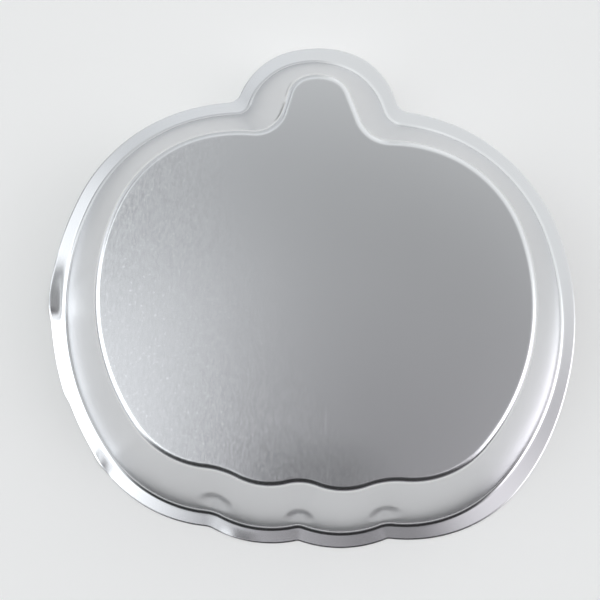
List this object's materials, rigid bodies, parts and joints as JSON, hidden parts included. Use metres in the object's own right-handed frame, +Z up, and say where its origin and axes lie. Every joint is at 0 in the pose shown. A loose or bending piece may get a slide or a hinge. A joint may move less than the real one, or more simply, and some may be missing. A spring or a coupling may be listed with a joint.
{
  "type": "cake pan",
  "caption": "Pumpkin-shaped cake pan pressed from aluminium sheet, with a flat base, drafted lobed walls, a stem and a flat flange round the mouth.",
  "frame": {"origin": "middle of the outline's box, on the plane that the flange stands on", "axes": "+Z up from the flange to the flat base, as the pan lies face down; +Y towards the stem; +X across the pumpkin"},
  "size_m": [0.311, 0.299, 0.05],
  "materials": {
    "satin_aluminium": "satin pressed sheet, brighter on the flange and bends"
  },
  "bodies": {
    "root": {"pan_shell": "satin_aluminium"}
  },
  "joints": []
}
